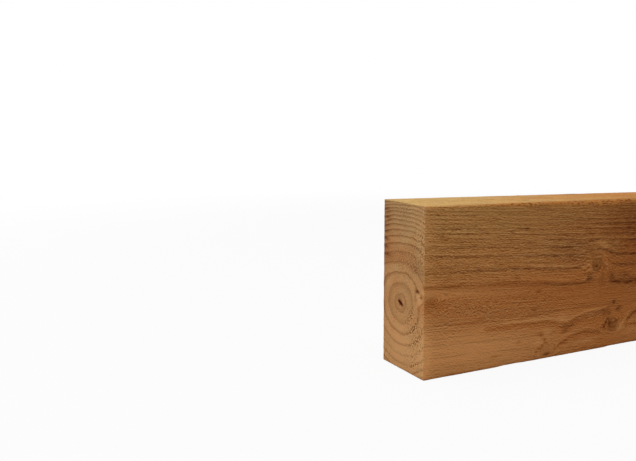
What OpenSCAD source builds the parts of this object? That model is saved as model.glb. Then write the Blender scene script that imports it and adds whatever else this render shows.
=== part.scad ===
// Rough-sawn treated softwood beam, standing on its narrow edge.
// +X runs along the length, +Y from the front face to the back, +Z up.
// The origin is at the centre of the underside.

/* [Sawn section] */
// Width of the beam, from front face to back face
beam_width = 75; // [40:1:150]
// Depth of the beam, from underside to top edge
beam_depth = 150; // [75:1:300]
// Length that the beam is cut to
beam_length = 1800; // [600:100:6000]

/* [Long arrises] */
// Radius that sawing leaves on three of the long arrises
sawn_arris_radius = 1.2; // [0.3:0.1:8]
// Radius of the top front arris, which handling has worn
worn_arris_radius = 2.6; // [0.3:0.1:12]

/* [Heart check] */
// How far the pith lies behind the middle of the section
pith_behind_middle = 6; // [-10:0.5:10]
// How far the pith lies below the middle of the section
pith_below_middle = 15; // [-20:0.5:20]
// Length of the drying check across the end grain
check_length = 9; // [4:0.5:16]
// Widest opening of the check
check_opening = 1.8; // [0.6:0.1:3]
// Depth of the check into the near end
check_depth = 14; // [6:1:40]
// Slope of the check, falling towards the front face
check_slope = 18; // [0:1:90]

/* [Hidden] */

// Sides of a full circle
$fn = 96;
// How far a cut reaches past the face that it starts from
overcut = 1;

front_y = -beam_width / 2;
back_y = beam_width / 2;
near_end_x = -beam_length / 2;
pith_y = pith_behind_middle;
pith_z = beam_depth / 2 - pith_below_middle;

// Radius of a circle through both ends of a chord and the top of its bow
function bow_radius(chord, rise) = (chord * chord / 4 + rise * rise) / (2 * rise);

// The waste outside one rounded corner of a section: the corner point, the
// way into the section from it, and the radius of the arc that replaces it
module corner_waste(corner, inward, radius) {
    arc_centre = corner + radius * inward;
    difference() {
        translate(corner + (radius - overcut) / 2 * inward)
            square(radius + overcut, center = true);
        translate(arc_centre) circle(radius);
    }
}

// The sawn section in the plane across the beam: X is the width, Y the depth
module sawn_section() {
    difference() {
        translate([front_y, 0]) square([beam_width, beam_depth]);
        corner_waste([front_y, 0], [1, 1], sawn_arris_radius);
        corner_waste([back_y, 0], [-1, 1], sawn_arris_radius);
        corner_waste([back_y, beam_depth], [-1, -1], sawn_arris_radius);
        corner_waste([front_y, beam_depth], [1, -1], worn_arris_radius);
    }
}

// Sets a section that is drawn across the beam upright, running along +X
module along_beam(start_x, length) {
    translate([start_x, 0, 0]) rotate([90, 0, 90]) linear_extrude(length) children();
}

// Outline of the open check on the end grain, two bowed lips that meet at points
module check_outline() {
    lip_radius = bow_radius(check_length, check_opening / 2);
    lip_centre = lip_radius - check_opening / 2;
    intersection() {
        translate([0, lip_centre]) circle(lip_radius);
        translate([0, -lip_centre]) circle(lip_radius);
    }
}

// The check that drying opened at the pith: the lips run in from the end and
// close along a round root
module heart_check() {
    root_radius = bow_radius(check_length, check_depth);
    translate([near_end_x, pith_y, pith_z]) rotate([check_slope, 0, 0])
        intersection() {
            along_beam(-overcut, check_depth + overcut) check_outline();
            translate([check_depth - root_radius, 0, 0])
                cylinder(h = 2 * check_opening, r = root_radius, center = true);
        }
}

// The beam, sawn from the log as one piece
module timber_beam() {
    color("peru")
        difference() {
            along_beam(near_end_x, beam_length) sawn_section();
            heart_check();
        }
}

timber_beam();
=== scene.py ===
"""Looks of a rough-sawn softwood beam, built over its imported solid.

The wood is worked out as it grew. Every point of the surface gets its growth ring, the way its grain runs and
how far it lies inside a knot, and the saw's relief and the colours follow from those values. Rings, knots and
fibres therefore meet at each edge as they do in solid timber.
"""

import functools
import itertools
import math
from typing import NamedTuple

import bpy
import numpy as np
from mathutils import Matrix, Vector


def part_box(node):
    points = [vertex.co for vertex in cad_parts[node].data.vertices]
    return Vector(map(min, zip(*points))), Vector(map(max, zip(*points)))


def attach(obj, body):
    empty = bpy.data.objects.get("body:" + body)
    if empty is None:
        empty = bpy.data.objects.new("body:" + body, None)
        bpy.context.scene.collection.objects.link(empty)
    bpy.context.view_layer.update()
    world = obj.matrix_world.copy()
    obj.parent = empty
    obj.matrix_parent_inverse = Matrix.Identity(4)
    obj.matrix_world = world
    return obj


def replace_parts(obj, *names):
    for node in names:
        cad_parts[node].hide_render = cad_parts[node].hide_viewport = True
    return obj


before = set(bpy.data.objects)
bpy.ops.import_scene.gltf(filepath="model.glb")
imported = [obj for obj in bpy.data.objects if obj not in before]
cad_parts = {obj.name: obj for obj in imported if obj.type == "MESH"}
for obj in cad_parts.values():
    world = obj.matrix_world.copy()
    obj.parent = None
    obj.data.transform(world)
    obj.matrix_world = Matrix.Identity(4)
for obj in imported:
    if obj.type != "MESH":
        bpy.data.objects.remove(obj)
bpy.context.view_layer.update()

bl_info = {
    "name": "Rough-sawn beam",
    "version": (1, 0, 0),
    "blender": (4, 5, 0),
    "location": "3D View > Sidebar > Timber",
    "description": "Models the sawn faces, end grain, knots and torn fibres of a softwood beam",
    "category": "Add Mesh",
}

NODE = "timber_beam"
BODY = "root"
MM = 0.001

# The beam in millimetres: u runs from the near end, y and z are the frame's own
LOW, HIGH = (np.array(corner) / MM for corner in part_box(NODE))
LENGTH, WIDTH, DEPTH = HIGH - LOW
FRONT, BACK = LOW[1], HIGH[1]
# Length from the near end that the photograph shows, where the mesh is finer
SHOWN_LENGTH = 290

# Growth: rings to a millimetre in the core, the core's radius, and how fast rings get closer outside it
RINGS_IN_CORE = 0.105
CORE_RADIUS = 43.8
RINGS_CLOSING = 0.0272
# Noise makes the rings uneven by this share
RING_UNEVENNESS = 0.035
# The rings are wider across the beam than up it, and above the pith their middle leans to the front
RING_FLATNESS = 0.82
RING_LEAN = 0.19
# Behind that middle the rings are flatter still, by this share from this height above the pith upwards
RING_SQUARENESS = 0.33
SQUARING_HEIGHT = 30
# The pith lies behind and below the near end's middle, and sways along the beam this far over these lengths
PITH_BEHIND, PITH_BELOW = 4.8, 14.6
PITH_SWAY_BACK, PITH_SWAY_DOWN = 3.5, 11.0
PITH_WAVE_BACK, PITH_WAVE_DOWN = 1700, 1300
# A branch tip is this share of the stem's age when it passes a point
BRANCH_LEAD = 0.35
# Rings bend round a knot within this many times its radius
KNOT_FILLET = 1.6
# Outside a knot its rings lie further apart, by this share of their number
KNOT_COLLAR = 0.75
# Knots reach further along the grain than across it
KNOT_STRETCH = 0.75
# The grain is pushed aside round a knot by this many times its radius, and tears less within this many
KNOT_PUSH = 1.3
KNOT_CALM = 1.6
# Width of the dark latewood line in a ring
LATEWOOD_WIDTH = 2.1
# Patches fade out this far behind the front, behind the near end and below the top
FRONT_FADE, END_FADE, TOP_FADE = 10, 6, 6
# Longest fade at the ends of a stroke
STROKE_FADE = 5.0

# Random values in a noise, a power of two, and the scales that are laid over one another
NOISE_VALUES = 256
NOISE_LAYERS = 3
# Seeds of the noises and of the random draws
RING_SEED, TEAR_SEED, WARMTH_SEED = 5, 21, 25
STREAK_SEED, PIT_SEED, SWELL_SEED = 31, 37, 41
END_PIT_SEED, END_ROUGH_SEED = 43, 47
ARRIS_SEED, CHIP_SEED, BREAK_SEED, WEAR_SEED = 51, 61, 71, 81
FIBRE_PLACE_SEED, FIBRE_SHAPE_SEED = 91, 92


class Knot(NamedTuple):
    """A branch from the pith to the sawn face, in millimetres."""

    root: np.ndarray
    tip: np.ndarray
    radius: float


class Patch(NamedTuple):
    """A soft-edged patch of the wood, in millimetres: it rises with u by its slope."""

    centre: tuple
    reach: tuple
    slope: float
    strength: float


class Stroke(NamedTuple):
    """A dark ring edge on the front face, through points (u, z), with its reach above and below that line."""

    line: tuple
    above: float
    below: float
    strength: float


def from_screen(red, green, blue):
    """Linear colour of a screen colour whose channels run from 0 to 255."""
    return tuple(
        channel / 255 / 12.92 if channel < 10.3 else ((channel / 255 + 0.055) / 1.055) ** 2.4
        for channel in (red, green, blue)
    )


def smooth_step(value, low, high):
    """0 below low, 1 above high, and a smooth cubic between them."""
    part = np.clip((value - low) / (high - low), 0, 1)
    return part * part * (3 - 2 * part)


def smooth_noise(points, seed):
    """Noise from -1 to 1: random values at whole-number places, blended by a cubic along each axis."""
    draw = np.random.default_rng(seed)
    order = draw.permutation(NOISE_VALUES)
    values = draw.uniform(-1, 1, NOISE_VALUES)
    wrap = NOISE_VALUES - 1
    cell = np.floor(points).astype(int)
    part = points - cell
    eased = part * part * (3 - 2 * part)
    total = np.zeros(points.shape[:-1])
    for corner in itertools.product((0, 1), repeat=3):
        x, y, z = np.moveaxis(cell + corner, -1, 0)
        picked = order[(order[(order[x & wrap] + y) & wrap] + z) & wrap]
        total += values[picked] * np.prod(np.where(corner, eased, 1 - eased), axis=-1)
    return total


def layered_noise(points, seed):
    """Noise at several scales, each half as large and half as strong as the one before."""
    shares = [0.5**layer for layer in range(NOISE_LAYERS)]
    sums = sum(share * smooth_noise(points / share, seed + layer) for layer, share in enumerate(shares))
    return sums / sum(shares)


def line_noise(u, scale, seed):
    """Noise from -1 to 1 along the length alone."""
    places = np.zeros((*np.shape(u), 3))
    places[..., 0] = np.asarray(u) / scale
    return layered_noise(places, seed)


def pith_line(u):
    """Heart of the tree along the beam, as y and z: a slow sine each way about its place on the near end."""
    y = PITH_BEHIND + PITH_SWAY_BACK * np.sin(2 * np.pi * u / PITH_WAVE_BACK)
    z = DEPTH / 2 - PITH_BELOW - PITH_SWAY_DOWN * np.sin(2 * np.pi * u / PITH_WAVE_DOWN)
    return np.stack(np.broadcast_arrays(y, z), axis=-1)


def rings_at(radius):
    """Ring number at a distance from the pith: even in the core, and growing as an exponential outside it."""
    outside = np.clip(radius - CORE_RADIUS, 0, None)
    core = RINGS_IN_CORE * np.minimum(radius, CORE_RADIUS)
    return core + RINGS_IN_CORE / RINGS_CLOSING * np.expm1(RINGS_CLOSING * outside)


def front_knot(u, height, radius, lean):
    """The branch that meets the front face at u and height, and left the pith lean nearer the near end."""
    root = np.array([u - lean, *pith_line(u - lean)])
    return Knot(root, np.array([u, FRONT, height]), radius)


def whorl(u, angles, radius, lean):
    """Branches that left the pith together. Angle 0 points at the back face and 90 at the top edge."""
    root = np.array([u, *pith_line(u)])
    knots = []
    for angle in np.radians(angles):
        across = np.array([math.cos(angle), math.sin(angle)])
        walls = np.where(across > 0, [BACK, DEPTH], [FRONT, 0])
        reach = np.min((walls - root[1:]) / across)
        knots.append(Knot(root, root + [lean, *(reach * across)], radius))
    return knots


KNOTS = [
    front_knot(195.5, 85, 7.5, 12),
    front_knot(220, 24, 8.0, 14),
    front_knot(134, 9, 5.0, 8),
    front_knot(6, 71, 4.5, 30),
    *whorl(205, (20, 75, 320), 7.0, 14),
    *whorl(585, (160, 215, 350, 80), 8.0, 14),
    *whorl(760, (185, 40), 4.0, 9),
    *whorl(960, (140, 230, 10, 300), 8.5, 14),
    *whorl(1150, (195, 95), 4.5, 9),
    *whorl(1345, (170, 250, 30, 110), 9.0, 15),
    *whorl(1560, (205, 335), 5.0, 9),
    *whorl(1700, (150, 225, 60), 8.0, 14),
]


def front_patch(u, z, length, height, slope, strength):
    """A patch on the front face that fades out behind it."""
    return Patch((u, FRONT, z), (length, FRONT_FADE, height), slope, strength)


def end_patch(y, z, width, height, strength):
    """A patch on the near end that fades out behind it."""
    return Patch((0, y, z), (END_FADE, width, height), 0, strength)


def top_patch(u, length, strength):
    """A patch over the whole width of the top that fades out below it."""
    return Patch((u, 0, DEPTH), (length, WIDTH, TOP_FADE), 0, strength)


# Resin and heart colour that shows darker and redder, or paler where the strength is below nothing. Some
# patches are painted shade instead: the front darkening towards the far end, the underside's edges and the
# wood round the heart check.
STAINS_AND_SHADE = [
    # The upper knot, its cracks and the wood round it
    front_patch(194.3, 84.8, 1.6, 1.2, 0, 2.8),
    front_patch(178, 86.6, 1.3, 0.9, 0, 1.4),
    front_patch(181, 81.6, 1.3, 1.4, 0, 1.7),
    front_patch(183.6, 84.3, 1.2, 0.9, 0, 1.6),
    front_patch(180, 77.4, 1.4, 0.9, 0, 1.1),
    front_patch(178.5, 83, 1.3, 0.9, 0, -0.9),
    front_patch(187.5, 75, 3.2, 3.6, 0.2, 1.1),
    front_patch(216.5, 73, 4.5, 4.6, -0.3, 1.0),
    front_patch(234, 69.5, 20, 5, -0.12, 0.5),
    front_patch(240, 64.5, 4, 1.3, 0.1, 0.5),
    front_patch(258, 63, 12, 3, 0, 0.4),
    front_patch(235, 73, 8, 4, 0, 0.4),
    front_patch(203, 106, 9, 2.8, -0.25, -1.1),
    front_patch(206, 93, 5, 3.5, -1.4, -0.55),
    front_patch(184.5, 81, 3.5, 1.1, 0, -1.0),
    front_patch(185.5, 86.2, 1.8, 1.3, 0, -1.0),
    front_patch(180, 73, 3, 2, 0, -0.5),
    # The lower knot, its cracks and the wood round it
    front_patch(221, 46.3, 1.6, 2.0, 0.4, 2.0),
    front_patch(227, 38.3, 3.0, 2.0, 0.2, 1.3),
    front_patch(216, 35, 2.6, 0.9, 0, 1.2),
    front_patch(216, 24.5, 1.6, 2.6, 0.6, 1.8),
    front_patch(223, 25.3, 2.2, 0.9, 0.1, 1.4),
    front_patch(218.5, 23.5, 4.5, 4.0, 0, 0.6),
    front_patch(227, 27, 2.5, 0.9, 0, 0.9),
    front_patch(218, 20, 3, 0.9, 0, 0.8),
    front_patch(222, 19, 1.5, 0.9, 0, 0.9),
    front_patch(232, 20, 5.5, 3.0, 0.75, -0.7),
    front_patch(220, 26.7, 1.4, 0.9, 0, -1.0),
    front_patch(242, 32.5, 2.5, 2.0, 0.6, -0.5),
    # The wood that turns aside before the lower knot
    front_patch(154, 37, 7, 3, 0, -0.5),
    front_patch(157, 24, 3.5, 1.8, 0.3, 1.1),
    front_patch(164, 28, 5, 1.1, 0.05, 1.5),
    # The small knot by the underside
    front_patch(131.3, 18.6, 1.6, 1.4, -0.4, 1.8),
    front_patch(133, 15.6, 1.6, 1.1, 0, 1.2),
    front_patch(128.8, 13.3, 1.8, 0.9, 0, 1.6),
    front_patch(125.6, 10.8, 2.6, 1.0, -0.3, 1.9),
    front_patch(122.3, 8.4, 1.6, 1.2, 0, 1.3),
    front_patch(135, 4.4, 4, 1.3, 0.05, 1.6),
    front_patch(127.5, 24, 2.4, 1.5, -0.2, 1.1),
    front_patch(126, 17, 6, 3.5, 0, -0.4),
    front_patch(135, 26, 5, 4, 0, -0.4),
    # Flecks of resin
    front_patch(74, 10.2, 4.5, 0.9, 0.03, 1.2),
    front_patch(118, 49.5, 2.2, 1.0, -0.6, 1.7),
    front_patch(122.5, 51.5, 2.0, 1.2, 0, 1.0),
    front_patch(100.5, 20.3, 1.4, 2.2, 0, 0.8),
    front_patch(97.3, 80, 1.6, 3.5, 0, 1.1),
    front_patch(123, 66, 2.6, 1.3, 0, 1.1),
    front_patch(110.7, 66.3, 1.5, 1.0, 0, 1.1),
    front_patch(16.5, 123.8, 1.5, 1.2, 0, 1.4),
    front_patch(42, 123.8, 2.2, 1.1, 0, 1.1),
    front_patch(50.3, 132.2, 1.2, 0.9, 0, 1.2),
    front_patch(58, 126, 2.8, 1.5, 0, 0.9),
    front_patch(63, 123.8, 1.3, 0.9, 0, 1.5),
    front_patch(90, 124, 2.4, 0.9, 0, 1.4),
    front_patch(106.8, 126, 2.4, 1.7, 0, 1.4),
    # Broad bands of the front
    front_patch(160, 100, 24, 9, 0, 0.3),
    front_patch(135, 120, 55, 22, 0, 0.12),
    front_patch(168, 93, 14, 3, 0, 0.4),
    # Painted shade: the upper front darkens from here towards the far end, as the light falls off there
    front_patch(270, 125, 85, 55, 0, 1.0),
    front_patch(152, 108, 26, 24, 0, 0.22),
    front_patch(5, 64, 8, 6, 0, 0.6),
    front_patch(240, 137, 18, 8, 0, -0.15),
    # The painted shade of the falling light runs on along the beam and fades
    front_patch(440, 118, 150, 50, 0, 0.8),
    front_patch(670, 108, 190, 40, 0, 0.6),
    front_patch(960, 100, 230, 40, 0, 0.45),
    front_patch(50, 18, 110, 26, -0.05, -1.05),
    front_patch(30, 73, 80, 5, -0.08, -0.45),
    front_patch(0, 75, 9, 90, 0, -0.35),
    front_patch(186, 11, 15, 1.8, 0.0, -0.8),
    front_patch(248, 14, 26, 12, 0, -0.35),
    # The near end: broad shades, the knot on its edge, and ring ends at the back
    end_patch(40, 124, 16, 40, 0.25),
    end_patch(0, 140, 60, 50, 0.2),
    end_patch(38, 60, 5, 60, 0.4),
    # Painted shade round the heart check at the pith
    end_patch(6, 60, 4, 4, 0.4),
    end_patch(-25.2, 75.6, 3.6, 1.6, 2.2),
    end_patch(-21.8, 69.5, 1.6, 5, 1.2),
    end_patch(-32, 71.6, 2.2, 1.1, 2.6),
    end_patch(-28.5, 69, 5, 4.5, -1.4),
    end_patch(36, 108, 9, 12, 0.2),
    end_patch(33, 141, 9, 1.0, 0.9),
    end_patch(32, 134.4, 9, 1.0, 0.9),
    end_patch(34, 127.5, 7, 1.0, 0.9),
    end_patch(33, 122, 7, 1.0, 0.8),
    end_patch(32, 114, 7, 1.0, 1.1),
    end_patch(32, 107, 7, 1.0, 1.0),
    end_patch(31, 100.6, 9, 1.0, 1.1),
    end_patch(-20, 112, 12, 3, 0.5),
    end_patch(-22, 93.5, 12, 4, 0.6),
    # Painted shade along the underside's edges, where the beam meets the floor
    end_patch(0, 0, 60, 1.3, 1.0),
    front_patch(120, 0, 400, 1.2, 0, 1.2),
    # Pale parts of the near end
    end_patch(0, 62, 30, 24, -0.3),
    end_patch(-5, 18, 45, 24, -1.0),
    end_patch(-30, 132, 22, 26, -0.4),
]
# Ring edges that show on the front face, and paler wood where the strength is below nothing
STROKES = [
    Stroke(((-5, 113), (90, 112), (130, 109), (165, 106)), 0.8, 1.2, 0.55),
    Stroke(((-5, 106), (40, 105), (80, 103), (150, 98)), 0.8, 1.2, 0.55),
    Stroke(((-5, 93), (60, 91), (100, 90)), 0.7, 1.4, 0.8),
    Stroke(((90, 90.4), (140, 86.4), (158, 84.8), (176, 85)), 0.7, 1.2, 1.0),
    Stroke(((110, 91), (150, 87.6), (160, 86.8), (174, 86.2)), 0.6, 0.6, -1.4),
    Stroke(((-40, 81), (0, 80), (50, 79), (90, 77), (125, 73), (138, 71.6)), 2.2, 1.2, 0.55),
    Stroke(((130, 72.6), (150, 69.8), (172, 68.6), (180, 69.4), (186, 71.8), (193, 73.5)), 2.0, 0.8, 0.8),
    Stroke(((-40, 83), (70, 82.5), (120, 79), (160, 73)), 1.4, 1.0, -0.35),
    Stroke(((20, 45), (60, 43), (100, 41), (130, 44)), 1.5, 0.8, 0.35),
    Stroke(
        ((60, 38.5), (100, 37.5), (120, 36), (135, 36.4), (145, 34.4), (153, 30.5), (162, 29.0)),
        above=0.7,
        below=4.5,
        strength=0.6,
    ),
    Stroke(
        ((80, 40.5), (125, 39), (138, 38), (150, 35.6), (159, 33.4), (171, 37.5), (190, 41), (214, 42)),
        above=1.3,
        below=1.0,
        strength=-0.6,
    ),
    Stroke(
        ((150, 32), (160, 31.5), (165, 33), (171, 35.5), (180, 38), (190, 38.8), (205, 40.2), (218, 38.6)),
        above=0.8,
        below=7.0,
        strength=0.7,
    ),
    Stroke(((146, 10), (155, 14), (163, 17.4), (172, 19.3), (183, 20), (205, 17)), 0.8, 2.4, 1.0),
    Stroke(((150, 17), (160, 21), (172, 23), (190, 24)), 1.2, 1.2, -0.4),
    Stroke(((206, 18), (208, 21.2), (209.7, 23.8), (211.2, 27), (214.5, 30.5)), 1.8, 1.8, 2.0),
    Stroke(
        ((237, 22.5), (241, 25.7), (245, 28.8), (249, 31.5), (253, 32.8), (275, 32), (330, 30)),
        above=1.4,
        below=2.2,
        strength=1.7,
    ),
    Stroke(((232, 22), (250, 20), (275, 19), (330, 18)), 0.7, 1.4, 0.8),
    Stroke(((208, 100), (215, 97.2), (222, 95.4), (245, 93.4), (275, 91), (330, 90)), 0.7, 1.2, 0.75),
    Stroke(((214, 86.5), (225, 84.2), (240, 82.8), (275, 81.5), (330, 80)), 0.6, 0.9, 0.8),
    Stroke(((232, 109.3), (250, 107.4), (275, 105), (330, 103)), 0.6, 1.0, 0.6),
    Stroke(((163, 109.2), (180, 108.4), (191, 111), (201, 111)), 0.6, 1.0, 1.0),
    Stroke(((193, 102.6), (200, 102), (206, 101), (211, 99.5)), 0.7, 0.9, 1.2),
    Stroke(((196, 78), (200, 81), (201, 86), (202, 90)), 1.6, 1.6, 0.5),
    Stroke(((188, 73), (191, 71.6), (194, 70.5)), 0.7, 0.7, 1.2),
    Stroke(((210, 68.6), (218, 66.8), (230, 65), (240, 64), (250, 66), (275, 65), (330, 64)), 1.6, 0.8, 0.8),
    Stroke(((165, 14), (180, 12.8), (195, 11), (210, 9)), 1.0, 1.0, 0.35),
]
# Torn grain, or smoother wood where the strength is below nothing
TEARS = [
    front_patch(80, 108, 160, 24, -0.02, 0.5),
    front_patch(50, 56, 55, 9, -0.06, 0.65),
    front_patch(115, 47, 40, 7, -0.06, 0.5),
    front_patch(188, 81, 7, 8, 0, 0.8),
    front_patch(190, 36, 30, 5, 0.1, 0.5),
    front_patch(150, 95, 30, 10, 0, 0.3),
    front_patch(70, 72, 90, 6, -0.05, -0.7),
    front_patch(80, 20, 110, 14, 0, -0.2),
    front_patch(190, 60, 50, 8, 0, -0.4),
    front_patch(280, 75, 80, 100, 0, -0.8),
    end_patch(-23, 41, 11, 7, 1.0),
    end_patch(-24, 28, 12, 6, 1.0),
    end_patch(-22, 12, 14, 8, 0.8),
    end_patch(-24, 119, 12, 8, 0.5),
    end_patch(-24, 106, 13, 8, 0.5),
    end_patch(-22, 94, 12, 6, 0.3),
    end_patch(-3, 84, 8, 5, 0.5),
    end_patch(-15, 53, 8, 8, 0.45),
    end_patch(8, 66, 7, 7, 0.35),
    end_patch(0, 75, 60, 200, -0.2),
    end_patch(25, 75, 22, 90, -0.25),
]
# Wood that is redder, or more olive where the strength is below nothing
WARMTHS = [
    front_patch(50, 134, 130, 24, 0, -0.45),
    front_patch(6, 63, 10, 8, 0, 0.6),
    front_patch(110, 66, 150, 28, 0, 0.45),
    front_patch(170, 35, 90, 40, 0, 0.7),
    front_patch(50, 25, 80, 30, 0, 0.25),
    front_patch(265, 60, 70, 70, 0, 0.85),
    front_patch(212, 104, 14, 5, -0.1, -0.4),
    front_patch(223, 30, 12, 12, 0, -0.4),
    front_patch(197, 86, 9, 9, 0, -0.4),
    top_patch(20, 110, -0.5),
    top_patch(290, 90, 0.3),
    end_patch(-10, 125, 40, 30, -0.35),
    end_patch(15, 103, 40, 10, 0.5),
]


def patch_sum(points, patches):
    """Adds up the patches, each a bell in the three directions about its sloping middle."""
    total = np.zeros(points.shape[:-1])
    for patch in patches:
        off = points - patch.centre
        rise = np.zeros_like(off)
        rise[..., 2] = patch.slope * off[..., 0]
        total += patch.strength * np.exp(-np.sum(((off - rise) / patch.reach) ** 2, axis=-1))
    return total


def stroke_sum(points, strokes):
    """Adds up the strokes.

    Each falls off as a bell above and below its line and behind the face. At its ends it fades as a smooth
    step over a fifth of its length, or over the longest fade where that is less.
    """
    u, y, z = np.moveaxis(points, -1, 0)
    total = np.zeros(u.shape)
    behind = np.exp(-(((y - FRONT) / FRONT_FADE) ** 2))
    for stroke in strokes:
        places, heights = np.transpose(stroke.line)
        off = z - np.interp(u, places, heights)
        reach = np.where(off > 0, stroke.above, stroke.below)
        fade = min((places[-1] - places[0]) * 0.2, STROKE_FADE)
        ends = smooth_step(u, places[0], places[0] + fade) * smooth_step(-u, -places[-1], fade - places[-1])
        total += stroke.strength * np.exp(-((off / reach) ** 2)) * ends * behind
    return total


# Values that a piece stores for its material, from the wood's growth and from the faces
GROWN_VALUES = ("ring", "knot", "stain_and_shade", "tear", "warm")
FACE_VALUES = ("end_grain", "worn", "top_paleness", "check_shade")


class Wood(NamedTuple):
    """What the wood is like at each point."""

    ring: np.ndarray
    grain: np.ndarray
    knot: np.ndarray
    stain_and_shade: np.ndarray
    tear: np.ndarray
    warm: np.ndarray


def grow(points):
    """Works out the wood at points (u, y, z).

    The stem's ring number follows from the distance to the pith, made uneven by noise. A branch has its own
    ring number, which grows with the distance from its axis and along it, and the lower number wins with a
    smooth blend. The grain's place across the beam is pushed aside round each branch as a stream is round a
    post. Tearing and warmth are noise with their patches added, and the wood tears less near a branch.
    """
    u = points[..., 0]
    across = points[..., 1:] - pith_line(u)
    across[..., 0] += RING_LEAN * np.clip(across[..., 1], 0, None)
    uneven = 1 + RING_UNEVENNESS * layered_noise(points / (260, 34, 34), RING_SEED)
    behind = across[..., 0] > 0
    squared = smooth_step(across[..., 1], 0, SQUARING_HEIGHT) * behind
    flatness = RING_FLATNESS * (1 - RING_SQUARENESS * squared)
    ring = rings_at(np.hypot(flatness * across[..., 0], across[..., 1]) * uneven)
    knot_share = np.zeros(u.shape)
    calm = np.zeros(u.shape)
    pushed = np.zeros_like(points)
    for knot in KNOTS:
        reach = np.linalg.norm(knot.tip - knot.root)
        heading = (knot.tip - knot.root) / reach
        aside = np.cross(heading, (1, 0, 0))
        aside /= np.linalg.norm(aside)
        from_root = points - knot.root
        along = np.clip(from_root @ heading, 0, None)
        off = from_root - along[..., None] * heading
        widening = knot.radius / ((1 - BRANCH_LEAD) * rings_at(reach))
        grown = np.clip(along / reach, 0.05, 1)
        away = np.linalg.norm(off * (KNOT_STRETCH, 1, 1), axis=-1)
        outside = np.clip(away - knot.radius * grown, 0, None)
        branch = BRANCH_LEAD * rings_at(along) + (away - (1 - KNOT_COLLAR) * outside) / widening
        fillet = KNOT_FILLET * knot.radius * grown / widening
        knot_share = np.maximum(knot_share, smooth_step(ring - branch, -0.6, 0.9))
        calm = np.maximum(calm, np.exp(-((away / (KNOT_CALM * knot.radius)) ** 2)) * (along > 0))
        stem_share = np.clip(0.5 + 0.5 * (branch - ring) / fillet, 0, 1)
        ring = branch + (ring - branch) * stem_share - fillet * stem_share * (1 - stem_share)
        width = knot.radius * grown
        sideways = off @ aside
        parting = 0.3 * off[..., 0] ** 2 + sideways**2 + 0.5 * width**2 + 1e-6
        pushed += (sideways * (KNOT_PUSH * width) ** 2 / parting)[..., None] * aside
    grain = np.concatenate([u[..., None], across], axis=-1) - pushed
    tear = (0.35 + 0.35 * layered_noise(points / (110, 24, 24), TEAR_SEED)) * (1 - 0.8 * calm)
    tear += patch_sum(points, TEARS) * (1 - 0.6 * calm)
    warm = 0.45 + 0.45 * layered_noise(points / (170, 15, 15), WARMTH_SEED) + patch_sum(points, WARMTHS)
    return Wood(
        np.clip(ring, 0, None),
        grain,
        knot_share,
        patch_sum(points, STAINS_AND_SHADE) + stroke_sum(points, STROKES),
        np.clip(tear, 0, 1),
        np.clip(warm, 0, 1),
    )


def length_property(name, description, millimetres):
    """A length of the beam, given in millimetres."""
    return bpy.props.FloatProperty(
        name=name, description=description, default=millimetres * MM, unit="LENGTH"
    )


class BeamSizes(bpy.types.PropertyGroup):
    """Sizes of the sawn section's edges, its relief, its torn fibres and its heart check."""

    worn_arris: length_property("Worn arris", "Radius of the top front arris", 2.6)
    sawn_arris: length_property("Sawn arris", "Radius of the other long arrises", 1.2)
    end_arris: length_property("End arris", "How far the saw broke the edges of the ends", 0.5)
    relief: length_property("Relief", "Depth of the rough relief on sawn faces", 0.5)
    fibre_count: bpy.props.IntProperty(
        name="Fibres", description="Number of torn fibres that stand up from the faces", default=1600
    )
    fibre_length: length_property("Fibre length", "Usual length of a torn fibre", 7.0)
    fibre_width: length_property("Fibre width", "Usual width of a torn fibre", 0.5)
    check_length: length_property("Check length", "Length of the heart check on the end", 9.8)
    check_opening: length_property("Check opening", "Widest opening of the heart check", 2.2)
    check_depth: length_property("Check depth", "Depth of the heart check", 14.0)
    check_slope: bpy.props.FloatProperty(
        name="Check slope",
        description="Fall of the heart check towards the front face",
        default=math.radians(18),
        unit="ROTATION",
    )


def colour_property(name, description, screen_colour):
    """A colour of the wood, given as it looks on a screen."""
    return bpy.props.FloatVectorProperty(
        name=name,
        description=description,
        default=from_screen(*screen_colour),
        subtype="COLOR",
        min=0,
        max=1,
    )


class BeamColours(bpy.types.PropertyGroup):
    """Colours of the wood's parts."""

    heart_early: colour_property("Heart earlywood", "Pale part of a ring near the heart", (195, 139, 77))
    heart_late: colour_property("Heart latewood", "Dark part of a ring near the heart", (140, 84, 38))
    # The next two colour only the top face, blended in where it is paler
    top_early: colour_property("Sap earlywood", "Pale part of an outer ring", (214, 177, 113))
    top_late: colour_property("Sap latewood", "Dark part of an outer ring", (178, 132, 78))
    knot: colour_property("Knot", "Wood of the knots", (150, 102, 54))
    pale: colour_property("Pale heart", "Heartwood that is paler than the rest", (234, 167, 103))
    # Dark colour of resin stains, also laid on as painted shade of fibres, dashes and shaded patches
    resin_and_shade: colour_property("Resin", "Wood that resin has darkened", (104, 48, 13))
    fibre: colour_property("Raised fibre", "Torn fibres that catch the light", (244, 191, 128))
    worn: colour_property("Worn arris", "Wood along the worn arris", (196, 126, 62))
    # Painted shade: the dark colour inside the heart check and on its lips
    check: colour_property("Heart check", "Deep wood in the heart check", (112, 46, 16))
    end: colour_property("End grain", "Fuzz of cut fibre ends", (215, 175, 125))
    warm: colour_property("Warmth", "What red heartwood lets through", (255, 220, 200))


class StageSettings(bpy.types.PropertyGroup):
    """Light and floor around the beam."""

    sky: bpy.props.FloatProperty(
        name="Sky", description="Strength of the even light from all round", default=0.215, min=0
    )
    lamp: bpy.props.FloatProperty(
        name="Lamp", description="Power of the soft lamp overhead", default=31, unit="POWER"
    )
    floor_glow: bpy.props.FloatProperty(
        name="Floor glow", description="Share of plain white that the camera sees in the floor", default=0.92
    )


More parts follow.
